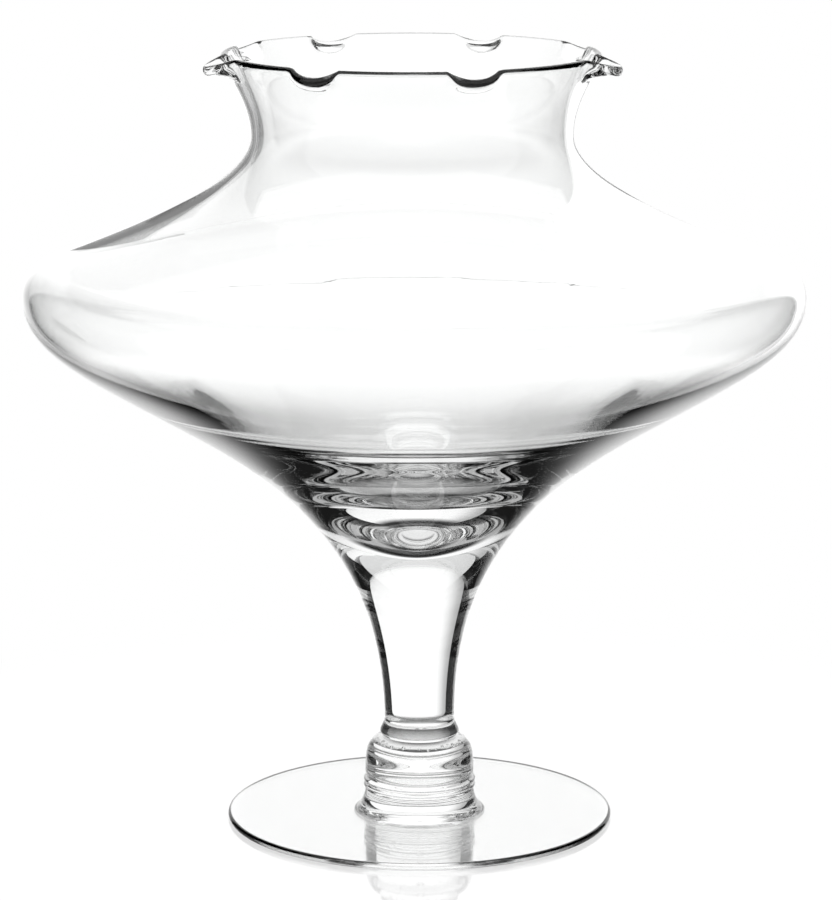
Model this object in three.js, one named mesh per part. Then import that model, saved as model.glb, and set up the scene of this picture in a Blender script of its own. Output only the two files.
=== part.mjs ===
// Footed violet bowl of clear blown glass, with a crimped lip, a drawn stem, a knop and a spun foot.
// Millimetres, +Z up. The origin is the middle of the foot on the table, and the front is towards -Y.
import * as THREE from "three";

// Foot
const FOOT_RADIUS = 50.2;
const FOOT_EDGE = 1.7;
const FOOT_HUB_RADIUS = 14.2;
const FOOT_HUB_TOP = 7.6;
const FOOT_FILLET = 3;
const FOOT_SLOPE = 0.2;
const FOOT_PULLS = [1.6, 2.4];
const PONTIL_RADIUS = 11.5;
const PONTIL_DEPTH = 0.8;
const PONTIL_ANGLE = 10;
const PONTIL_PULLS = [6, 2];

// Wafers and knop between the foot and the stem
const LOWER_WAFER_TOP = 10.6;
const WAFER_RING_RADIUS = 14.6;
const WAFER_GROOVE_RADIUS = 13.7;
const KNOP_RADIUS = 14.1;
const KNOP_TOP = 21.8;
const KNOP_BELLY_HEIGHT = 15;
const KNOP_FOOT_ANGLE = 50;
const KNOP_TOP_ANGLE = 20;
const KNOP_SIDE_PULLS = [1.2, 2];
const KNOP_SHOULDER_PULLS = [4, 3];
const CUFF_RADIUS = 10.3;
const CUFF_ROUND = 0.7;
const CUFF_TOP = 26.5;
const CUFF_PULLS = [1.6, 1.8];

// Stem, whose curve runs on into the bowl
const STEM_RADIUS = 9.1;
const TRUMPET_PULLS = [53.5, 31.5];
const SEAL_SHARE = 0.26;

// Bowl
const CONE_RADIUS = 74.5;
const CONE_HEIGHT = 113.8;
const CONE_ANGLE = 31;
const BELLY_RADIUS = 100;
const BELLY_HEIGHT = 138.8;
const SHOULDER_RADIUS = 91.4;
const SHOULDER_HEIGHT = 147.3;
const SHOULDER_ANGLE = 19;
const NECK_RADIUS = 41;
const NECK_HEIGHT = 179;
const LIP_RADIUS = 48.2;
const LIP_HEIGHT = 199;
const LIP_ANGLE = 66;
const WALL = 2.0;
const BASE_WALL = 2.6;

// Inside of the bowl: a rounded well that rises to a shallow ledge, above which the wall thins to the belly
const CAVITY_FLOOR = 76;
const LEDGE_RADIUS = 58.5;
const LEDGE_HEIGHT = 108.2;
const LEDGE_ANGLE = 22;

// How far each curve of the bowl runs straight on from its start and into its end
const UNDER_BELLY_PULLS = [19, 10];
const OVER_BELLY_PULLS = [6.2, 2.5];
const THROAT_PULLS = [28, 10.3];
const FLARE_PULLS = [8.4, 6.3];
const CAVITY_PULLS = [14, 22];
const LEDGE_PULLS = [4, 4];

// Crimps: degrees from the front towards the right, and how far out each one is drawn, all judged by eye
const CRIMPS = [
  { angle: 19, spread: 1.5 },
  { angle: 74, spread: 6.5 },
  { angle: 114, spread: 4 },
  { angle: 158, spread: 2.5 },
  { angle: 206, spread: 2.5 },
  { angle: 245, spread: 4 },
  { angle: 285, spread: 5.5 },
  { angle: 330, spread: 1.5 },
];
const CRIMP_REACH = 6.8;
const CRIMP_LENGTH = 5.5;
const CRIMP_DROP = 2.3;
const CRIMP_END_ANGLE = -10;
const CRIMP_SWELL = 0.3;

// The bowl stands a little to the left of its foot, as a hand-made stem leans
const LEAN = 0.012;
const LEAN_START = CUFF_TOP;

// Facets round the pieces and along their curves
const CRIMP_STEPS = 8;
const CRIMP_CROWDING = 0.65;
const STEM_SIDES = 32;
const FOOT_SIDES = 48;
const LONG_CURVE = 9;
const CURVE = 6;
const SHORT_CURVE = 4;
const WAFER_STEPS = 8;

const point = (radius, height) => new THREE.Vector2(radius, height);
const radians = THREE.MathUtils.degToRad;
const UPRIGHT = 90;
const OUTWARD = 0;
const INWARD = 180;

function along(from, angle, length) {
  return point(from.x + length * Math.cos(radians(angle)), from.y + length * Math.sin(radians(angle)));
}

// Smooth curve that leaves one point and reaches another in the given directions
function tangentCurve(start, leaveAngle, end, arriveAngle, [leavePull, arrivePull]) {
  const leaving = along(start, leaveAngle, leavePull);
  const arriving = along(end, arriveAngle, -arrivePull);
  return new THREE.CubicBezierCurve(start, leaving, arriving, end);
}

function stretch(path, from, to, steps) {
  return Array.from({ length: steps + 1 }, (_, i) => path.getPoint(from + ((to - from) * i) / steps));
}

// Outside of the stem and bowl, as curves that share their tangents where they meet
const waist = point(STEM_RADIUS, CUFF_TOP);
const cone = point(CONE_RADIUS, CONE_HEIGHT);
const belly = point(BELLY_RADIUS, BELLY_HEIGHT);
const shoulder = point(SHOULDER_RADIUS, SHOULDER_HEIGHT);
const neck = point(NECK_RADIUS, NECK_HEIGHT);
const lip = point(LIP_RADIUS, LIP_HEIGHT);
const inward = INWARD - SHOULDER_ANGLE;

const trumpet = tangentCurve(waist, UPRIGHT, cone, CONE_ANGLE, TRUMPET_PULLS);
const underBelly = tangentCurve(cone, CONE_ANGLE, belly, UPRIGHT, UNDER_BELLY_PULLS);
const overBelly = tangentCurve(belly, UPRIGHT, shoulder, inward, OVER_BELLY_PULLS);
const throat = tangentCurve(shoulder, inward, neck, UPRIGHT, THROAT_PULLS);
const flare = tangentCurve(neck, UPRIGHT, lip, LIP_ANGLE, FLARE_PULLS);
const seal = trumpet.getPoint(SEAL_SHARE);

// Points moved square to their own line by their own distances, to the left of the way it runs
function offset(points, distances) {
  return points.map((here, i) => {
    const before = points[Math.max(i - 1, 0)];
    const after = points[Math.min(i + 1, points.length - 1)];
    const way = after.clone().sub(before).normalize();
    return point(here.x - way.y * distances[i], here.y + way.x * distances[i]);
  });
}

// Half circle from one side of the lip to the other
function roundedLip(outer, inner, steps) {
  const middle = outer.clone().add(inner).multiplyScalar(0.5);
  const spoke = outer.clone().sub(middle);
  return Array.from({ length: steps - 1 }, (_, i) => {
    return spoke.clone().rotateAround(point(0, 0), (Math.PI * (i + 1)) / steps).add(middle);
  });
}

function bowlProfile() {
  const outerWall = [
    ...stretch(underBelly, 0, 1, CURVE),
    ...stretch(overBelly, 0, 1, SHORT_CURVE).slice(1),
    ...stretch(throat, 0, 1, CURVE).slice(1),
    ...stretch(flare, 0, 1, CURVE).slice(1),
  ];
  const thickness = outerWall.map((_, i) => WALL + (BASE_WALL - WALL) * Math.max(1 - i / CURVE, 0) ** 2);
  const innerWall = offset(outerWall, thickness).reverse();
  const rim = roundedLip(outerWall.at(-1), innerWall[0], SHORT_CURVE);
  const ledge = point(LEDGE_RADIUS, LEDGE_HEIGHT);
  const aboveLedge = tangentCurve(ledge, LEDGE_ANGLE, innerWall.at(-1), CONE_ANGLE, LEDGE_PULLS);
  const well = tangentCurve(point(0, CAVITY_FLOOR), OUTWARD, ledge, LEDGE_ANGLE, CAVITY_PULLS);
  return [
    point(0, seal.y),
    ...stretch(trumpet, SEAL_SHARE, 1, LONG_CURVE),
    ...outerWall.slice(1),
    ...rim,
    ...innerWall,
    ...stretch(aboveLedge, 1, 0, SHORT_CURVE).slice(1),
    ...stretch(well, 1, 0, LONG_CURVE).slice(1),
  ];
}

// Angles round the bowl, crowded where the crimps are
function bowlAngles() {
  const count = CRIMPS.length;
  return Array.from({ length: count * CRIMP_STEPS + 1 }, (_, i) => {
    const crimp = Math.floor(i / CRIMP_STEPS) % count;
    const share = (i % CRIMP_STEPS) / CRIMP_STEPS;
    const first = CRIMPS[crimp].angle;
    const gap = (CRIMPS[(crimp + 1) % count].angle - first + 360) % 360;
    const eased = share - (CRIMP_CROWDING * Math.sin(2 * Math.PI * share)) / (2 * Math.PI);
    return first + gap * eased;
  });
}

// Folds the lip outwards and down where a crimp is, where the pressed glass swells a little
function crimped(place, angle) {
  const gapTo = (crimp) => Math.abs(((angle - crimp.angle + 540) % 360) - 180);
  const nearest = CRIMPS.reduce((best, crimp) => (gapTo(crimp) < gapTo(best) ? crimp : best));
  const away = (radians(gapTo(nearest)) * LIP_RADIUS) / CRIMP_REACH;
  const press = Math.max(1 - away * away, 0);

  const middle = along(lip, LIP_ANGLE + UPRIGHT, WALL / 2);
  const root = along(middle, LIP_ANGLE, -CRIMP_LENGTH);
  const reach = place.clone().sub(root).rotateAround(point(0, 0), -radians(LIP_ANGLE));
  if (press === 0 || reach.x <= 0) return place;

  const end = point(middle.x + nearest.spread * press, middle.y - CRIMP_DROP * press);
  const endAngle = LIP_ANGLE - (LIP_ANGLE - CRIMP_END_ANGLE) * press;
  const evenPull = CRIMP_LENGTH / 3;
  const fold = tangentCurve(root, LIP_ANGLE, end, endAngle, [evenPull, evenPull]);
  const share = Math.min(reach.x / CRIMP_LENGTH, 1);
  const way = fold.getTangent(share);
  const past = Math.max(reach.x - CRIMP_LENGTH, 0);
  const side = point(-way.y, way.x).multiplyScalar(reach.y * (1 + CRIMP_SWELL * press * share));
  return fold.getPoint(share).add(side).add(way.multiplyScalar(past));
}

function lean(geometry) {
  const places = geometry.getAttribute("position");
  for (let i = 0; i < places.count; i += 1) {
    const height = Math.max(places.getZ(i) - LEAN_START, 0);
    places.setX(i, places.getX(i) - LEAN * height);
  }
  return geometry;
}

function turned(profile, sides) {
  return new THREE.LatheGeometry(profile, sides).rotateX(Math.PI / 2);
}

function bowlGeometry() {
  const profile = bowlProfile();
  const angles = bowlAngles();
  const geometry = turned(profile, angles.length - 1);
  const places = geometry.getAttribute("position");
  for (let i = 0; i < places.count; i += 1) {
    const angle = angles[Math.floor(i / profile.length)];
    const turn = radians(angle);
    const { x: radius, y: height } = crimped(profile[i % profile.length], angle);
    places.setXYZ(i, radius * Math.sin(turn), -radius * Math.cos(turn), height);
  }
  return lean(geometry);
}

function stemGeometry() {
  const side = stretch(trumpet, 0, SEAL_SHARE, CURVE);
  return lean(turned([point(0, CUFF_TOP), ...side, point(0, seal.y)], STEM_SIDES));
}

function upperWafer() {
  const edge = point(CUFF_RADIUS, KNOP_TOP + CUFF_ROUND);
  const side = tangentCurve(edge, UPRIGHT, waist, UPRIGHT, CUFF_PULLS);
  return turned([
    point(0, KNOP_TOP),
    point(CUFF_RADIUS - CUFF_ROUND, KNOP_TOP),
    ...stretch(side, 0, 1, CURVE),
    point(0, CUFF_TOP),
  ], STEM_SIDES);
}

function knop() {
  const bottom = point(WAFER_GROOVE_RADIUS, LOWER_WAFER_TOP);
  const barrel = point(KNOP_RADIUS, KNOP_BELLY_HEIGHT);
  const top = point(CUFF_RADIUS - CUFF_ROUND, KNOP_TOP);
  const side = tangentCurve(bottom, KNOP_FOOT_ANGLE, barrel, UPRIGHT, KNOP_SIDE_PULLS);
  const round = tangentCurve(barrel, UPRIGHT, top, INWARD - KNOP_TOP_ANGLE, KNOP_SHOULDER_PULLS);
  return turned([
    point(0, LOWER_WAFER_TOP),
    ...stretch(side, 0, 1, SHORT_CURVE),
    ...stretch(round, 0, 1, CURVE).slice(1),
    point(0, KNOP_TOP),
  ], STEM_SIDES);
}

// Two fine rings with a groove between them
function lowerWafer() {
  const height = LOWER_WAFER_TOP - FOOT_HUB_TOP;
  const depth = WAFER_RING_RADIUS - WAFER_GROOVE_RADIUS;
  const rings = Array.from({ length: WAFER_STEPS + 1 }, (_, i) => {
    const share = i / WAFER_STEPS;
    const bulge = Math.abs(Math.sin(2 * Math.PI * share));
    return point(WAFER_GROOVE_RADIUS + depth * bulge, FOOT_HUB_TOP + height * share);
  });
  return turned([point(0, FOOT_HUB_TOP), ...rings, point(0, LOWER_WAFER_TOP)], STEM_SIDES);
}

function foot() {
  const edgeRadius = FOOT_EDGE / 2;
  const edge = point(FOOT_RADIUS - edgeRadius, edgeRadius);
  const roundEdge = Array.from({ length: SHORT_CURVE + 1 }, (_, i) => {
    return along(edge, (INWARD * i) / SHORT_CURVE - UPRIGHT, edgeRadius);
  });
  const hub = point(FOOT_HUB_RADIUS, FOOT_HUB_TOP);
  const land = edge.x - FOOT_HUB_RADIUS - FOOT_FILLET;
  const filletStart = along(roundEdge.at(-1), INWARD - FOOT_SLOPE, land);
  const fillet = tangentCurve(filletStart, INWARD - FOOT_SLOPE, hub, UPRIGHT, FOOT_PULLS);
  const pontilTop = point(0, PONTIL_DEPTH);
  const pontilEdge = point(PONTIL_RADIUS, 0);
  const pontil = tangentCurve(pontilTop, OUTWARD, pontilEdge, -PONTIL_ANGLE, PONTIL_PULLS);
  return turned([
    ...stretch(pontil, 0, 1, SHORT_CURVE),
    ...roundEdge,
    ...stretch(fillet, 0, 1, LONG_CURVE),
    point(0, FOOT_HUB_TOP),
  ], FOOT_SIDES);
}

function glassPiece(name, geometry) {
  const glass = new THREE.MeshStandardMaterial({
    color: 0xf4f6f5,
    roughness: 0.04,
    metalness: 0,
    transparent: true,
    opacity: 0.35,
  });
  const mesh = new THREE.Mesh(geometry, glass);
  mesh.name = name;
  return mesh;
}

const violetBowl = new THREE.Group();
violetBowl.add(
  glassPiece("foot", foot()),
  glassPiece("lower_wafer", lowerWafer()),
  glassPiece("knop", knop()),
  glassPiece("upper_wafer", upperWafer()),
  glassPiece("stem", stemGeometry()),
  glassPiece("bowl", bowlGeometry()),
);

export default violetBowl;
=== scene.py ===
import math

import bmesh
import bpy
from mathutils import Matrix, Vector


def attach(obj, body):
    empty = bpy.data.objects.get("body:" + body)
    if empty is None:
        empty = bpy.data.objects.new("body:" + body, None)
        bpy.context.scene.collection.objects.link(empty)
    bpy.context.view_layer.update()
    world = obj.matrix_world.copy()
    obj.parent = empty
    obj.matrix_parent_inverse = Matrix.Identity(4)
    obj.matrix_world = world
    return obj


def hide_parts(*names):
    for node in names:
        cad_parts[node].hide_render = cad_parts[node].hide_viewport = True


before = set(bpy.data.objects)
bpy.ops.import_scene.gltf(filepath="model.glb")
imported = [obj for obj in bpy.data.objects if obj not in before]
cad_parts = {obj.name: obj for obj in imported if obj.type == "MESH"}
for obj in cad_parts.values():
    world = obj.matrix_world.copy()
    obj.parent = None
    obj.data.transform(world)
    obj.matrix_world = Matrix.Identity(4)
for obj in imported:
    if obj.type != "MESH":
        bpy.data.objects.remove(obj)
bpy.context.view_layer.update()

MM = 0.001
BODY = "root"

# Foot
FOOT_RADIUS = 50.2 * MM
FOOT_EDGE = 1.7 * MM
FOOT_HUB_RADIUS = 14.2 * MM
FOOT_HUB_TOP = 7.6 * MM
FOOT_FILLET = 3 * MM
FOOT_SLOPE = 0.2
FOOT_PULLS = (1.6 * MM, 2.4 * MM)
PONTIL_RADIUS = 11.5 * MM
PONTIL_DEPTH = 0.8 * MM
PONTIL_ANGLE = 10
PONTIL_PULLS = (6 * MM, 2 * MM)

# Wafers and knop
LOWER_WAFER_TOP = 10.6 * MM
WAFER_RING_RADIUS = 14.6 * MM
WAFER_GROOVE_RADIUS = 13.7 * MM
WAFER_RINGS = 2
KNOP_RADIUS = 14.1 * MM
KNOP_TOP = 21.8 * MM
KNOP_BELLY_HEIGHT = 15 * MM
KNOP_FOOT_ANGLE = 50
KNOP_TOP_ANGLE = 20
KNOP_SIDE_PULLS = (1.2 * MM, 2 * MM)
KNOP_SHOULDER_PULLS = (4 * MM, 3 * MM)
SEED_COUNT = 34
SEED_RADIUS = 10.5 * MM
SEED_HEIGHT = 20.0 * MM
SEED_SIZE = 0.45 * MM
SEED_SCATTER = 0.03
SEED_MIDDLE_SHARE = 0.8
SEED_SHARE_SWING = 0.4
CUFF_RADIUS = 10.3 * MM
CUFF_ROUND = 0.7 * MM
CUFF_TOP = 26.5 * MM
CUFF_PULLS = (1.6 * MM, 1.8 * MM)

# Stem, whose curve runs on into the bowl
STEM_RADIUS = 9.1 * MM
TRUMPET_PULLS = (53.5 * MM, 31.5 * MM)
SEAL_SHARE = 0.26

# Bowl
CONE_RADIUS = 74.5 * MM
CONE_HEIGHT = 113.8 * MM
CONE_ANGLE = 31
BELLY_RADIUS = 100 * MM
BELLY_HEIGHT = 138.8 * MM
SHOULDER_RADIUS = 91.4 * MM
SHOULDER_HEIGHT = 147.3 * MM
SHOULDER_ANGLE = 19
NECK_RADIUS = 41 * MM
NECK_HEIGHT = 179 * MM
LIP_RADIUS = 48.2 * MM
LIP_HEIGHT = 199 * MM
LIP_ANGLE = 66
WALL = 2.0 * MM
BASE_WALL = 2.6 * MM
CAVITY_FLOOR = 76 * MM
CAVITY_PULLS = (14 * MM, 22 * MM)
LEDGE_RADIUS = 58.5 * MM
LEDGE_HEIGHT = 108.2 * MM
LEDGE_ANGLE = 22
LEDGE_PULLS = (4 * MM, 4 * MM)
RIPPLE_COUNT = 5
RIPPLE_HEIGHT = 0.006 * MM
UNDER_BELLY_PULLS = (19 * MM, 10 * MM)
OVER_BELLY_PULLS = (6.2 * MM, 2.5 * MM)
THROAT_PULLS = (28 * MM, 10.3 * MM)
FLARE_PULLS = (8.4 * MM, 6.3 * MM)

# Steps along the curves, and sides round the turned pieces
TRUMPET_STEPS = 52
UNDER_BELLY_STEPS = 32
OVER_BELLY_STEPS = 20
THROAT_STEPS = 34
FLARE_STEPS = 20
RIM_STEPS = 10
CAVITY_STEPS = 48
STEM_STEPS = 60
CUFF_STEPS = 16
KNOP_SIDE_STEPS = 16
KNOP_SHOULDER_STEPS = 24
WAFER_STEPS = 24
PONTIL_STEPS = 16
UNDERSIDE_STEPS = 60
EDGE_STEPS = 16
TOP_STEPS = 48
FILLET_STEPS = 32
SCREEN_STEPS = 24
SIDES = 192
FOOT_SIDES = 224

# Crimps round the lip: degrees from the front towards the right, and how far out each one is drawn
CRIMPS = (
    (19, 1.5 * MM),
    (74, 6.5 * MM),
    (114, 4.0 * MM),
    (158, 2.5 * MM),
    (206, 2.5 * MM),
    (245, 4.0 * MM),
    (285, 5.5 * MM),
    (330, 1.5 * MM),
)
CRIMP_REACH = 6.8 * MM
CRIMP_LENGTH = 5.5 * MM
CRIMP_DROP = 2.3 * MM
CRIMP_END_ANGLE = -10
CRIMP_SWELL = 0.3
CRIMP_STEPS = 32
CRIMP_CROWDING = 0.5

# The bowl stands a little to the left of its foot
LEAN = 0.012
LEAN_START = CUFF_TOP

# Glass
GLASS_IOR = 1.5
GLASS_COLOUR = (0.992, 0.996, 0.994, 1)
SMUDGE_SCALE = 45
SMUDGE_DETAIL = 4
SMUDGE_SPAN = (0.5, 0.8)
SMUDGE_ROUGHNESS = 0.012
SHADOW_PASS = 0.96
BLOWN_DEPTH = 0.03 * MM
DRAWN_DEPTH = 0.05 * MM
TOOLED_DEPTH = 0.004 * MM
SPUN_DEPTH = 0.02 * MM
WAVE_DETAIL = 1.5
RING_DETAIL = 2.0
RING_STRETCH = (0.12, 0.12, 1)
LIGHT_BOUNCES = 40
GLOSS_BOUNCES = 16
SEAL_BOUNCES = 64

# Camera, from how round the foot and the lip look in the photograph
PHOTO_WIDTH = 832
FOCAL_PIXELS = 3993
CAMERA_BACK = 1.0093
CAMERA_HEIGHT = 0.3065
CAMERA_PITCH = 11.7
CAMERA_ASIDE = -0.9 * MM
SENSOR = 36.0
NEAR_LIMIT = 0.05

# Screens of the studio: directions in degrees from straight behind to the right, heights and light levels
SCREEN_RADIUS = 0.7
BACK_SPAN = (-37, 40)
BACK_TOP = 2.0
BACK_LEVEL = 1.12
SHADE_SPAN = (-0.42, -0.2)
SHADE_LEVEL = 0.5
FRONT_SPAN = (100, 260)
FRONT_TOP = 0.4
FRONT_LEVEL = 0.5
UPPER_TOP = 1.0
UPPER_LEVEL = 1.0
CEILING = 0.8
CEILING_HEIGHT = 1.0
TOP_LEVEL = 0.8

# Small grey cards behind the bowl: left, right, bottom and top
CARD_BACK = 0.12
CARD_LEVEL = 0.25
LEFT_CARD = (-0.106, -0.07, 0.148, 0.194)
RIGHT_CARD = (0.06, 0.068, 0.152, 0.178)
MIRRORED_ONLY = ("right_dark_card", "upper_screen")

# Lamp and room
LAMP_POWER = 10
LAMP_SIZE = 1.2
LAMP_HEIGHT = 1.3
AMBIENT = 0.72
DARK_ROOM = 0.01

# Floor: its own white, and the painted light and shade the glass shows of it, at spans of distance from the
# middle
FLOOR_SIZE = 4.0
FLOOR_COLOUR = (0.9, 0.9, 0.9, 1)
FLOOR_ROUGHNESS = 0.03
FLOOR_SHINE = 1.0
WHITE_SPAN = (0.09, 0.2)
# Painted light and shade of the floor as the glass shows it: dark, with a glowing lit spot under the stem
PAINTED_LIT_SPAN = (0.012, 0.018)
PAINTED_LIT_LEVEL = 0.9
PAINTED_DARK_LEVEL = 0.01
FAR_SPAN = (0.12, 0.24)
FAR_LEVEL = 1.0
# Painted light: a pale glow over half of the floor's mirror image near the middle, seen at a low angle
PAINTED_PALE_SPAN = (0.046, 0.056)
PAINTED_PALE_SHARE = 0.5
PAINTED_PALE_LEVEL = 0.75
MIRROR_FACING = (0.35, 0.65)
AIR_GAP = 0.03 * MM

TINY = 0.001
UPRIGHT = 90
OUTWARD = 0
INWARD = 180


def along(start, angle, length):
    """The point that lies a length away from another, in a direction in degrees."""
    turn = math.radians(angle)
    return start + Vector((length * math.cos(turn), length * math.sin(turn)))


def tangent_curve(start, leave_angle, end, arrive_angle, pulls):
    """A smooth curve in radius and height that leaves and arrives in the given directions."""
    leaving = along(start, leave_angle, pulls[0])
    arriving = along(end, arrive_angle, -pulls[1])

    def place(share):
        rest = 1 - share
        start_side = start * rest ** 3 + leaving * (3 * share * rest ** 2)
        return start_side + arriving * (3 * share ** 2 * rest) + end * share ** 3

    return place


def stretch(curve, first, last, steps):
    return [curve(first + (last - first) * i / steps) for i in range(steps + 1)]


def offset(points, distances):
    """Points moved square to their line by their own distances, to the left of the way it runs."""
    moved = []
    for i, here in enumerate(points):
        before = points[max(i - 1, 0)]
        after = points[min(i + 1, len(points) - 1)]
        way = (after - before).normalized()
        moved.append(here + Vector((-way.y, way.x)) * distances[i])
    return moved


def ripple(steps, count, height):
    """Heights of fine waves that die away at both ends."""
    shares = [i / steps for i in range(steps + 1)]
    return [height * math.sin(2 * math.pi * count * s) * math.sin(math.pi * s) for s in shares]


def flat_ring(first, last, steps):
    """Points on a straight line after its first point, close enough to keep the shading flat."""
    return [first.lerp(last, (i + 1) / steps) for i in range(steps)]


def half_circle(first, last, steps):
    """Points between two ends of a rounded edge, going over its left side."""
    middle = (first + last) / 2
    spoke = first - middle
    points = []
    for i in range(1, steps):
        turn = math.pi * i / steps
        sine = math.sin(turn)
        cosine = math.cos(turn)
        turned = Vector((spoke.x * cosine - spoke.y * sine, spoke.x * sine + spoke.y * cosine))
        points.append(middle + turned)
    return points


waist = Vector((STEM_RADIUS, CUFF_TOP))
cone = Vector((CONE_RADIUS, CONE_HEIGHT))
belly = Vector((BELLY_RADIUS, BELLY_HEIGHT))
shoulder = Vector((SHOULDER_RADIUS, SHOULDER_HEIGHT))
neck = Vector((NECK_RADIUS, NECK_HEIGHT))
lip = Vector((LIP_RADIUS, LIP_HEIGHT))
trumpet = tangent_curve(waist, UPRIGHT, cone, CONE_ANGLE, TRUMPET_PULLS)
seal = trumpet(SEAL_SHARE)


def crimped(radius, height, angle):
    """Folds the lip outwards and down where a crimp is, where the pressed glass swells a little."""
    gaps = [abs((math.degrees(angle) - middle + 540) % 360 - 180) for middle, spread in CRIMPS]
    nearest = gaps.index(min(gaps))
    spread = CRIMPS[nearest][1]
    away = math.radians(gaps[nearest]) * LIP_RADIUS / CRIMP_REACH
    press = max(1 - away * away, 0)

    middle = along(lip, LIP_ANGLE + UPRIGHT, WALL / 2)
    root = along(middle, LIP_ANGLE, -CRIMP_LENGTH)
    reach = Vector((radius, height)) - root
    ahead = reach.dot(along(Vector((0, 0)), LIP_ANGLE, 1))
    aside = reach.dot(along(Vector((0, 0)), LIP_ANGLE + UPRIGHT, 1))
    if press == 0 or ahead <= 0:
        return radius, height

    end = middle + Vector((spread, -CRIMP_DROP)) * press
    end_angle = LIP_ANGLE - (LIP_ANGLE - CRIMP_END_ANGLE) * press
    even_pull = CRIMP_LENGTH / 3
    fold = tangent_curve(root, LIP_ANGLE, end, end_angle, (even_pull, even_pull))
    share = min(ahead / CRIMP_LENGTH, 1)
    way = (fold(share + TINY) - fold(share - TINY)).normalized()
    past = max(ahead - CRIMP_LENGTH, 0)
    aside *= 1 + CRIMP_SWELL * press * share
    return fold(share) + Vector((-way.y, way.x)) * aside + way * past


def straight(radius, height, angle):
    return radius, height


def even_angles(sides):
    return [2 * math.pi * i / sides for i in range(sides)]


def crimp_angles():
    """Angles round the bowl, crowded where the crimps are."""
    angles = []
    for i, (first, spread) in enumerate(CRIMPS):
        gap = (CRIMPS[(i + 1) % len(CRIMPS)][0] - first) % 360
        for step in range(CRIMP_STEPS):
            share = step / CRIMP_STEPS
            eased = share - CRIMP_CROWDING * math.sin(2 * math.pi * share) / (2 * math.pi)
            angles.append(math.radians(first + gap * eased))
    return angles


def place_in_space(radius, height, angle):
    leaning = LEAN * max(height - LEAN_START, 0)
    return Vector((radius * math.sin(angle) - leaning, -radius * math.cos(angle), height))


def revolve(name, profile, angles, shape=straight, seals=()):
    """A closed turned piece. The profile starts and ends on the axis, and seals are its fused steps."""
    shell = bmesh.new()
    rings = []
    for point in profile:
        if point.x == 0:
            rings.append([shell.verts.new(place_in_space(0, point.y, 0))])
            continue
        ring = []
        for angle in angles:
            radius, height = shape(point.x, point.y, angle)
            ring.append(shell.verts.new(place_in_space(radius, height, angle)))
        rings.append(ring)
    count = len(angles)
    for step, (low, high) in enumerate(zip(rings, rings[1:])):
        for i in range(count):
            j = (i + 1) % count
            corners = [low[i % len(low)], low[j % len(low)], high[j % len(high)], high[i % len(high)]]
            face = shell.faces.new(list(dict.fromkeys(corners)))
            face.smooth = True
            face.material_index = 1 if step in seals else 0
    for edge in shell.edges:
        sides = {face.material_index for face in edge.link_faces}
        edge.smooth = len(sides) == 1
    mesh = bpy.data.meshes.new(name)
    shell.to_mesh(mesh)
    shell.free()
    piece = bpy.data.objects.new(name, mesh)
    bpy.context.scene.collection.objects.link(piece)
    return piece


def add_seeds(piece, places, sizes):
    """Small bubbles of air in the glass, as closed hollows."""
    shell = bmesh.new()
    shell.from_mesh(piece.data)
    for place, size in zip(places, sizes):
        there = Matrix.Translation(place)
        made = bmesh.ops.create_icosphere(shell, subdivisions=2, radius=size, matrix=there)
        walls = list({face for corner in made["verts"] for face in corner.link_faces})
        bmesh.ops.reverse_faces(shell, faces=walls)
        for face in walls:
            face.smooth = True
    shell.to_mesh(piece.data)
    shell.free()


def bowl_profile():
    inward = INWARD - SHOULDER_ANGLE
    under_belly = tangent_curve(cone, CONE_ANGLE, belly, UPRIGHT, UNDER_BELLY_PULLS)
    over_belly = tangent_curve(belly, UPRIGHT, shoulder, inward, OVER_BELLY_PULLS)
    throat = tangent_curve(shoulder, inward, neck, UPRIGHT, THROAT_PULLS)
    flare = tangent_curve(neck, UPRIGHT, lip, LIP_ANGLE, FLARE_PULLS)
    outer = stretch(under_belly, 0, 1, UNDER_BELLY_STEPS)
    extra = [(1 - i / UNDER_BELLY_STEPS) ** 2 for i in range(UNDER_BELLY_STEPS + 1)]
    thickness = [WALL + (BASE_WALL - WALL) * share for share in extra]
    outer += stretch(over_belly, 0, 1, OVER_BELLY_STEPS)[1:]
    outer += stretch(throat, 0, 1, THROAT_STEPS)[1:]
    outer += stretch(flare, 0, 1, FLARE_STEPS)[1:]
    thickness += [WALL] * (len(outer) - len(thickness))
    inner = offset(outer, thickness)[::-1]
    cavity_floor = Vector((0, CAVITY_FLOOR))
    ledge = Vector((LEDGE_RADIUS, LEDGE_HEIGHT))
    cavity = tangent_curve(cavity_floor, OUTWARD, ledge, LEDGE_ANGLE, CAVITY_PULLS)
    above_ledge = tangent_curve(ledge, LEDGE_ANGLE, inner[-1], CONE_ANGLE, LEDGE_PULLS)
    profile = [Vector((0, seal.y))]
    profile += stretch(trumpet, SEAL_SHARE, 1, TRUMPET_STEPS)
    profile += outer[1:]
    profile += half_circle(outer[-1], inner[0], RIM_STEPS)
    profile += inner
    waves = ripple(CAVITY_STEPS, RIPPLE_COUNT, RIPPLE_HEIGHT)
    profile += offset(stretch(above_ledge, 1, 0, CAVITY_STEPS), waves)[1:]
    profile += stretch(cavity, 1, 0, CAVITY_STEPS)[1:]
    return profile


def make_bowl():
    return revolve("blown_bowl", bowl_profile(), crimp_angles(), crimped, seals=(0,))


def make_stem():
    profile = [Vector((0, CUFF_TOP))]
    profile += stretch(trumpet, 0, SEAL_SHARE, STEM_STEPS)
    profile.append(Vector((0, seal.y)))
    return revolve("drawn_stem", profile, even_angles(SIDES), seals=(0, len(profile) - 2))


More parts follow.
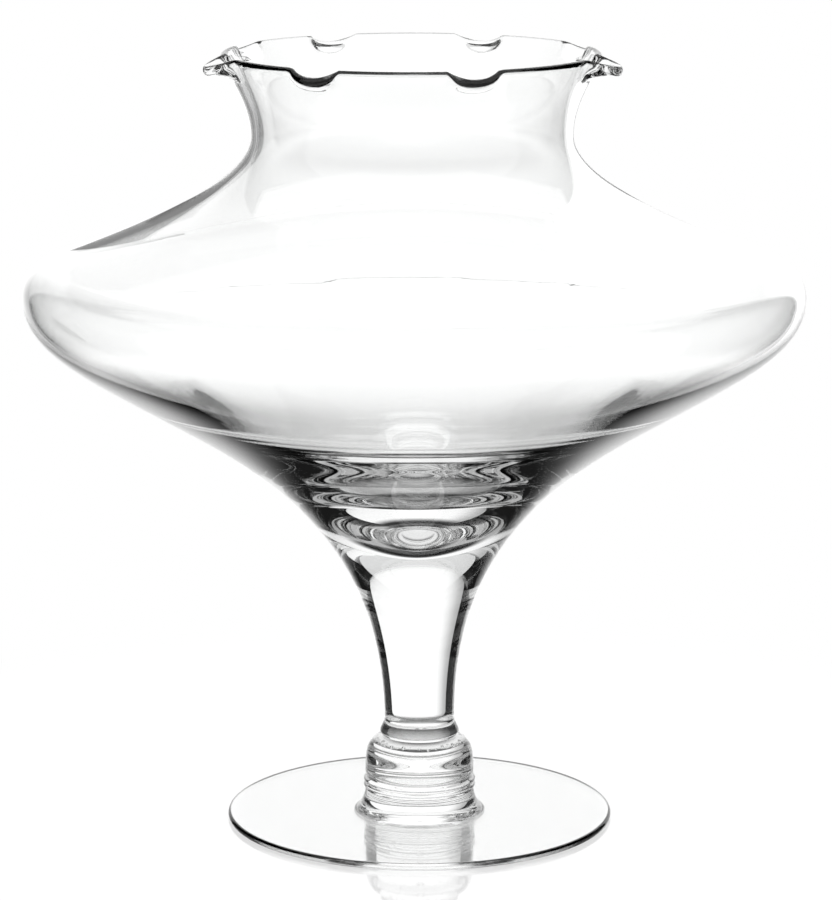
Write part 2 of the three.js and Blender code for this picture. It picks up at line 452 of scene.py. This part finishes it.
def make_upper_wafer():
    edge = Vector((CUFF_RADIUS, KNOP_TOP + CUFF_ROUND))
    side = tangent_curve(edge, UPRIGHT, waist, UPRIGHT, CUFF_PULLS)
    profile = [Vector((0, KNOP_TOP)), Vector((CUFF_RADIUS - CUFF_ROUND, KNOP_TOP))]
    profile += stretch(side, 0, 1, CUFF_STEPS)
    profile.append(Vector((0, CUFF_TOP)))
    return revolve("cuff_wafer", profile, even_angles(SIDES), seals=(0, len(profile) - 2))


def seed_ring():
    """Places and sizes of the bubbles under the shoulder of the knop, spread a little unevenly."""
    places = []
    sizes = []
    for i, turn in enumerate(even_angles(SEED_COUNT)):
        angle = turn + SEED_SCATTER * math.sin(7 * i)
        height = SEED_HEIGHT + SEED_SIZE * math.sin(5 * i)
        places.append(place_in_space(SEED_RADIUS, height, angle))
        sizes.append(SEED_SIZE * (SEED_MIDDLE_SHARE + SEED_SHARE_SWING * math.sin(3 * i)))
    return places, sizes


def make_knop():
    bottom = Vector((WAFER_GROOVE_RADIUS, LOWER_WAFER_TOP))
    barrel = Vector((KNOP_RADIUS, KNOP_BELLY_HEIGHT))
    top = Vector((CUFF_RADIUS - CUFF_ROUND, KNOP_TOP))
    side = tangent_curve(bottom, KNOP_FOOT_ANGLE, barrel, UPRIGHT, KNOP_SIDE_PULLS)
    rounded = tangent_curve(barrel, UPRIGHT, top, INWARD - KNOP_TOP_ANGLE, KNOP_SHOULDER_PULLS)
    profile = [Vector((0, LOWER_WAFER_TOP))]
    profile += stretch(side, 0, 1, KNOP_SIDE_STEPS)
    profile += stretch(rounded, 0, 1, KNOP_SHOULDER_STEPS)[1:]
    profile.append(Vector((0, KNOP_TOP)))
    piece = revolve("barrel_knop", profile, even_angles(SIDES), seals=(0, len(profile) - 2))
    add_seeds(piece, *seed_ring())
    return piece


def make_lower_wafer():
    height = LOWER_WAFER_TOP - FOOT_HUB_TOP
    depth = WAFER_RING_RADIUS - WAFER_GROOVE_RADIUS
    profile = [Vector((0, FOOT_HUB_TOP))]
    for i in range(WAFER_STEPS + 1):
        share = i / WAFER_STEPS
        bulge = abs(math.sin(WAFER_RINGS * math.pi * share))
        profile.append(Vector((WAFER_GROOVE_RADIUS + depth * bulge, FOOT_HUB_TOP + height * share)))
    profile.append(Vector((0, LOWER_WAFER_TOP)))
    return revolve("ringed_wafer", profile, even_angles(SIDES), seals=(0, len(profile) - 2))


def make_foot():
    round_edge = FOOT_EDGE / 2
    edge = Vector((FOOT_RADIUS - round_edge, round_edge))
    hub = Vector((FOOT_HUB_RADIUS, FOOT_HUB_TOP))
    edge_top = along(edge, UPRIGHT, round_edge)
    land = edge_top.x - FOOT_HUB_RADIUS - FOOT_FILLET
    fillet_start = along(edge_top, INWARD - FOOT_SLOPE, land)
    fillet = tangent_curve(fillet_start, INWARD - FOOT_SLOPE, hub, UPRIGHT, FOOT_PULLS)
    pontil_top = Vector((0, PONTIL_DEPTH))
    pontil_edge = Vector((PONTIL_RADIUS, 0))
    pontil = tangent_curve(pontil_top, OUTWARD, pontil_edge, -PONTIL_ANGLE, PONTIL_PULLS)
    profile = stretch(pontil, 0, 1, PONTIL_STEPS)
    profile[0].x = 0
    profile += flat_ring(profile[-1], along(edge, -UPRIGHT, round_edge), UNDERSIDE_STEPS)
    profile += half_circle(profile[-1], edge_top, EDGE_STEPS)
    profile.append(edge_top)
    profile += flat_ring(edge_top, fillet_start, TOP_STEPS)
    profile += stretch(fillet, 0, 1, FILLET_STEPS)[1:]
    profile.append(Vector((0, FOOT_HUB_TOP)))
    return revolve("spun_foot", profile, even_angles(FOOT_SIDES), seals=(len(profile) - 2,))


def fading(nodes, links, value, span, first, last, kind="SMOOTHSTEP"):
    """A value that goes from first to last while another one crosses a span."""
    fade = nodes.new("ShaderNodeMapRange")
    fade.interpolation_type = kind
    fade.inputs["From Min"].default_value = span[0]
    fade.inputs["From Max"].default_value = span[1]
    fade.inputs["To Min"].default_value = first
    fade.inputs["To Max"].default_value = last
    links.new(value, fade.inputs["Value"])
    return fade.outputs["Result"]


def blended(nodes, links, share, first, second):
    """A shader that turns from the first into the second as the share grows to one."""
    mix = nodes.new("ShaderNodeMixShader")
    links.new(share, mix.inputs[0])
    links.new(first.outputs[0], mix.inputs[1])
    links.new(second.outputs[0], mix.inputs[2])
    return mix


def hand_worked_surface():
    """Height of the faint waves and turning rings that a hand-worked surface keeps, for use in a bump."""
    group = bpy.data.node_groups.new("hand_worked_surface", "ShaderNodeTree")
    for name in ("Wave Size", "Ring Size", "Ring Share"):
        group.interface.new_socket(name, in_out="INPUT", socket_type="NodeSocketFloat")
    group.interface.new_socket("Height", in_out="OUTPUT", socket_type="NodeSocketFloat")
    nodes = group.nodes
    links = group.links
    entry = nodes.new("NodeGroupInput")
    leave = nodes.new("NodeGroupOutput")
    place = nodes.new("ShaderNodeTexCoord")

    waves = nodes.new("ShaderNodeTexNoise")
    waves.inputs["Detail"].default_value = WAVE_DETAIL
    links.new(place.outputs["Object"], waves.inputs["Vector"])
    links.new(entry.outputs["Wave Size"], waves.inputs["Scale"])

    flat = nodes.new("ShaderNodeMapping")
    flat.inputs["Scale"].default_value = RING_STRETCH
    links.new(place.outputs["Object"], flat.inputs["Vector"])
    rings = nodes.new("ShaderNodeTexNoise")
    rings.inputs["Detail"].default_value = RING_DETAIL
    links.new(flat.outputs["Vector"], rings.inputs["Vector"])
    links.new(entry.outputs["Ring Size"], rings.inputs["Scale"])

    mixed = nodes.new("ShaderNodeMath")
    mixed.operation = "MULTIPLY_ADD"
    links.new(rings.outputs["Fac"], mixed.inputs[0])
    links.new(entry.outputs["Ring Share"], mixed.inputs[1])
    links.new(waves.outputs["Fac"], mixed.inputs[2])
    links.new(mixed.outputs[0], leave.inputs["Height"])
    return group


def clear_glass(name, surface, waves, rings, ring_share, depth):
    """Colourless glass with so many faint waves and rings to the metre, of a depth in metres."""
    material = bpy.data.materials.new(name)
    material.use_nodes = True
    nodes = material.node_tree.nodes
    links = material.node_tree.links
    shader = nodes["Principled BSDF"]
    shader.inputs["Base Color"].default_value = GLASS_COLOUR
    shader.inputs["IOR"].default_value = GLASS_IOR
    shader.inputs["Transmission Weight"].default_value = 1.0

    worked = nodes.new("ShaderNodeGroup")
    worked.node_tree = surface
    worked.inputs["Wave Size"].default_value = waves
    worked.inputs["Ring Size"].default_value = rings
    worked.inputs["Ring Share"].default_value = ring_share
    bump = nodes.new("ShaderNodeBump")
    bump.inputs["Strength"].default_value = 1.0
    bump.inputs["Distance"].default_value = depth
    links.new(worked.outputs["Height"], bump.inputs["Height"])
    links.new(bump.outputs["Normal"], shader.inputs["Normal"])

    smudge = nodes.new("ShaderNodeTexNoise")
    smudge.inputs["Scale"].default_value = SMUDGE_SCALE
    smudge.inputs["Detail"].default_value = SMUDGE_DETAIL
    place = nodes.new("ShaderNodeTexCoord")
    links.new(place.outputs["Object"], smudge.inputs["Vector"])
    polish = fading(nodes, links, smudge.outputs["Fac"], SMUDGE_SPAN, 0, SMUDGE_ROUGHNESS, "LINEAR")
    links.new(polish, shader.inputs["Roughness"])

    path = nodes.new("ShaderNodeLightPath")
    indirect = nodes.new("ShaderNodeMath")
    indirect.operation = "MAXIMUM"
    links.new(path.outputs["Is Shadow Ray"], indirect.inputs[0])
    links.new(path.outputs["Is Diffuse Ray"], indirect.inputs[1])
    passing = nodes.new("ShaderNodeBsdfTransparent")
    passing.inputs["Color"].default_value = (SHADOW_PASS, SHADOW_PASS, SHADOW_PASS, 1)
    mix = blended(nodes, links, indirect.outputs[0], shader, passing)
    links.new(mix.outputs[0], nodes["Material Output"].inputs["Surface"])
    return material


def fused_seal():
    """The face where two pieces are fused is no surface any more, so light passes it unbent."""
    material = bpy.data.materials.new("fused_seal")
    material.use_nodes = True
    nodes = material.node_tree.nodes
    nodes.remove(nodes["Principled BSDF"])
    clear = nodes.new("ShaderNodeBsdfTransparent")
    material.node_tree.links.new(clear.outputs[0], nodes["Material Output"].inputs["Surface"])
    return material


def glowing(name, level):
    """A screen that gives plain white light of the given level."""
    material = bpy.data.materials.new(name)
    material.use_nodes = True
    nodes = material.node_tree.nodes
    nodes.remove(nodes["Principled BSDF"])
    light = nodes.new("ShaderNodeEmission")
    light.inputs["Strength"].default_value = level
    material.node_tree.links.new(light.outputs[0], nodes["Material Output"].inputs["Surface"])
    return material


def backdrop_white():
    """White of the back screen, which gets darker towards its left end."""
    material = glowing("backdrop_white", BACK_LEVEL)
    nodes = material.node_tree.nodes
    links = material.node_tree.links
    place = nodes.new("ShaderNodeTexCoord")
    split = nodes.new("ShaderNodeSeparateXYZ")
    links.new(place.outputs["Object"], split.inputs[0])
    shade = fading(nodes, links, split.outputs["X"], SHADE_SPAN, SHADE_LEVEL, BACK_LEVEL)
    links.new(shade, nodes["Emission"].inputs["Strength"])
    return material


def stage_piece(name, corners, faces, material):
    mesh = bpy.data.meshes.new(name)
    mesh.from_pydata(corners, [], faces)
    mesh.materials.append(material)
    piece = bpy.data.objects.new(name, mesh)
    bpy.context.scene.collection.objects.link(piece)
    return piece


def level_board(name, half, height, material):
    """A flat square over or under the bowl."""
    corners = [(-half, -half, height), (half, -half, height), (half, half, height), (-half, half, height)]
    return stage_piece(name, corners, [(0, 1, 2, 3)], material)


def upright_card(name, sides, material):
    """A flat card that stands behind the bowl, from its left, right, bottom and top."""
    left, right, bottom, top = sides
    back = CARD_BACK
    corners = [(left, back, bottom), (right, back, bottom), (right, back, top), (left, back, top)]
    return stage_piece(name, corners, [(0, 1, 2, 3)], material)


def curved_screen(name, span, bottom, top, material):
    """An upright strip bent round the bowl, between the two directions of its span."""
    line = []
    for i in range(SCREEN_STEPS + 1):
        turn = math.radians(span[0] + (span[1] - span[0]) * i / SCREEN_STEPS)
        line.append((SCREEN_RADIUS * math.sin(turn), SCREEN_RADIUS * math.cos(turn)))
    corners = [(x, y, height) for height in (bottom, top) for x, y in line]
    above = len(line)
    faces = [(i, i + 1, above + i + 1, above + i) for i in range(SCREEN_STEPS)]
    return stage_piece(name, corners, faces, material)


def make_camera():
    data = bpy.data.cameras.new("camera")
    data.sensor_fit = "HORIZONTAL"
    data.sensor_width = SENSOR
    data.lens = SENSOR * FOCAL_PIXELS / PHOTO_WIDTH
    data.clip_start = NEAR_LIMIT
    camera = bpy.data.objects.new("camera", data)
    camera.location = (CAMERA_ASIDE, -CAMERA_BACK, CAMERA_HEIGHT)
    camera.rotation_euler = (math.radians(UPRIGHT - CAMERA_PITCH), 0, 0)
    bpy.context.scene.collection.objects.link(camera)
    bpy.context.scene.camera = camera
    return camera


def make_studio(camera):
    """White screens round the bowl and two grey cards behind it, turned to face the camera, and a lamp."""
    table = bpy.data.objects.new("studio_turntable", None)
    bpy.context.scene.collection.objects.link(table)
    facing = table.constraints.new("LOCKED_TRACK")
    facing.target = camera
    facing.track_axis = "TRACK_NEGATIVE_Y"
    facing.lock_axis = "LOCK_Z"

    front = glowing("front_grey", FRONT_LEVEL)
    upper = glowing("upper_white", UPPER_LEVEL)
    grey = glowing("card_dark", CARD_LEVEL)
    screens = [
        curved_screen("back_screen", BACK_SPAN, 0, BACK_TOP, backdrop_white()),
        upright_card("left_dark_card", LEFT_CARD, grey),
        upright_card("right_dark_card", RIGHT_CARD, grey),
        curved_screen("front_screen", FRONT_SPAN, 0, FRONT_TOP, front),
        curved_screen("upper_screen", FRONT_SPAN, FRONT_TOP, UPPER_TOP, upper),
        level_board("ceiling", CEILING, CEILING_HEIGHT, glowing("ceiling_grey", TOP_LEVEL)),
    ]
    for screen in screens:
        screen.parent = table
        screen.visible_camera = False
        screen.visible_diffuse = False
        screen.visible_shadow = False
        screen.visible_transmission = screen.name not in MIRRORED_ONLY

    lamp = bpy.data.lights.new("overhead", "AREA")
    lamp.size = LAMP_SIZE
    lamp.energy = LAMP_POWER
    overhead = bpy.data.objects.new("overhead", lamp)
    overhead.location = (0, 0, LAMP_HEIGHT)
    overhead.visible_glossy = False
    overhead.visible_transmission = False
    bpy.context.scene.collection.objects.link(overhead)


def make_world():
    """White for the camera, soft for the floor, and dark for what shows in the glass beside the screens."""
    world = bpy.data.worlds.new("studio")
    bpy.context.scene.world = world
    world.use_nodes = True
    nodes = world.node_tree.nodes
    links = world.node_tree.links
    background = nodes["Background"]
    background.inputs["Color"].default_value = (1, 1, 1, 1)
    path = nodes.new("ShaderNodeLightPath")
    ambient = nodes.new("ShaderNodeMath")
    ambient.operation = "MULTIPLY_ADD"
    ambient.inputs[1].default_value = AMBIENT
    ambient.inputs[2].default_value = DARK_ROOM
    links.new(path.outputs["Is Diffuse Ray"], ambient.inputs[0])
    total = nodes.new("ShaderNodeMath")
    total.operation = "MAXIMUM"
    links.new(path.outputs["Is Camera Ray"], total.inputs[0])
    links.new(ambient.outputs[0], total.inputs[1])
    links.new(total.outputs[0], background.inputs["Strength"])


def make_floor():
    """A white glossy sheet that keeps the shadow and the mirror image, and turns to plain white further out.

    In the glass it shows as a mirror of the screen at a low angle, with a painted pale glow near the middle.
    From above it shows painted shade, dark with a painted lit spot under the stem, and white far out.
    """
    material = bpy.data.materials.new("white_acrylic_and_painted_light")
    material.use_nodes = True
    nodes = material.node_tree.nodes
    links = material.node_tree.links
    shader = nodes["Principled BSDF"]
    shader.inputs["Base Color"].default_value = FLOOR_COLOUR
    shader.inputs["Roughness"].default_value = FLOOR_ROUGHNESS
    shader.inputs["Specular IOR Level"].default_value = FLOOR_SHINE
    place = nodes.new("ShaderNodeTexCoord")
    length = nodes.new("ShaderNodeVectorMath")
    length.operation = "LENGTH"
    links.new(place.outputs["Object"], length.inputs[0])
    distance = length.outputs["Value"]
    white = nodes.new("ShaderNodeEmission")
    whitening = fading(nodes, links, distance, WHITE_SPAN, 0, 1)
    direct = blended(nodes, links, whitening, shader, white)

    # Painted light and shade for rays other than the camera's: a glowing lit spot under the stem, dark
    # around it and white far out
    lit = fading(nodes, links, distance, PAINTED_LIT_SPAN, PAINTED_LIT_LEVEL, PAINTED_DARK_LEVEL)
    far = fading(nodes, links, distance, FAR_SPAN, 0, FAR_LEVEL)
    lighter = nodes.new("ShaderNodeMath")
    lighter.operation = "MAXIMUM"
    links.new(lit, lighter.inputs[0])
    links.new(far, lighter.inputs[1])
    painted_from_above = nodes.new("ShaderNodeEmission")
    links.new(lighter.outputs[0], painted_from_above.inputs["Strength"])

    mirror = nodes.new("ShaderNodeBsdfGlossy")
    mirror.inputs["Roughness"].default_value = 0
    mirror.inputs["Color"].default_value = (1, 1, 1, 1)
    # Painted light: near the middle a pale glow takes half the place of the mirror when seen at a low angle
    painted_pale_glow = nodes.new("ShaderNodeEmission")
    painted_pale_glow.inputs["Strength"].default_value = PAINTED_PALE_LEVEL
    painted_paling = fading(nodes, links, distance, PAINTED_PALE_SPAN, PAINTED_PALE_SHARE, 0)
    from_low = blended(nodes, links, painted_paling, mirror, painted_pale_glow)

    weight = nodes.new("ShaderNodeLayerWeight")
    grazing = fading(nodes, links, weight.outputs["Facing"], MIRROR_FACING, 0, 1)
    through_glass = blended(nodes, links, grazing, painted_from_above, from_low)
    path = nodes.new("ShaderNodeLightPath")
    both = blended(nodes, links, path.outputs["Is Camera Ray"], through_glass, direct)
    links.new(both.outputs[0], nodes["Material Output"].inputs["Surface"])
    floor = level_board("floor", FLOOR_SIZE, 0, material)
    floor.location.z = -AIR_GAP


# Building the scene
scene = bpy.context.scene
scene.view_settings.view_transform = "Standard"
scene.cycles.use_denoising = True
scene.cycles.max_bounces = LIGHT_BOUNCES
scene.cycles.transmission_bounces = LIGHT_BOUNCES
scene.cycles.glossy_bounces = GLOSS_BOUNCES
scene.cycles.transparent_max_bounces = SEAL_BOUNCES
scene.cycles.caustics_reflective = False

camera = make_camera()
make_studio(camera)
make_world()
make_floor()

surface = hand_worked_surface()
blown = clear_glass("blown_glass", surface, waves=28, rings=160, ring_share=0.25, depth=BLOWN_DEPTH)
drawn = clear_glass("drawn_glass", surface, waves=60, rings=260, ring_share=0.3, depth=DRAWN_DEPTH)
tooled = clear_glass("tooled_glass", surface, waves=110, rings=500, ring_share=0.4, depth=TOOLED_DEPTH)
spun = clear_glass("spun_glass", surface, waves=40, rings=60, ring_share=0.0, depth=SPUN_DEPTH)
fused = fused_seal()
PIECES = {
    "bowl": (make_bowl, blown),
    "stem": (make_stem, drawn),
    "upper_wafer": (make_upper_wafer, tooled),
    "knop": (make_knop, tooled),
    "lower_wafer": (make_lower_wafer, tooled),
    "foot": (make_foot, spun),
}
for node, (make, glass) in PIECES.items():
    piece = make()
    piece.data.materials.append(glass)
    piece.data.materials.append(fused)
    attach(piece, BODY)
    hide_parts(node)
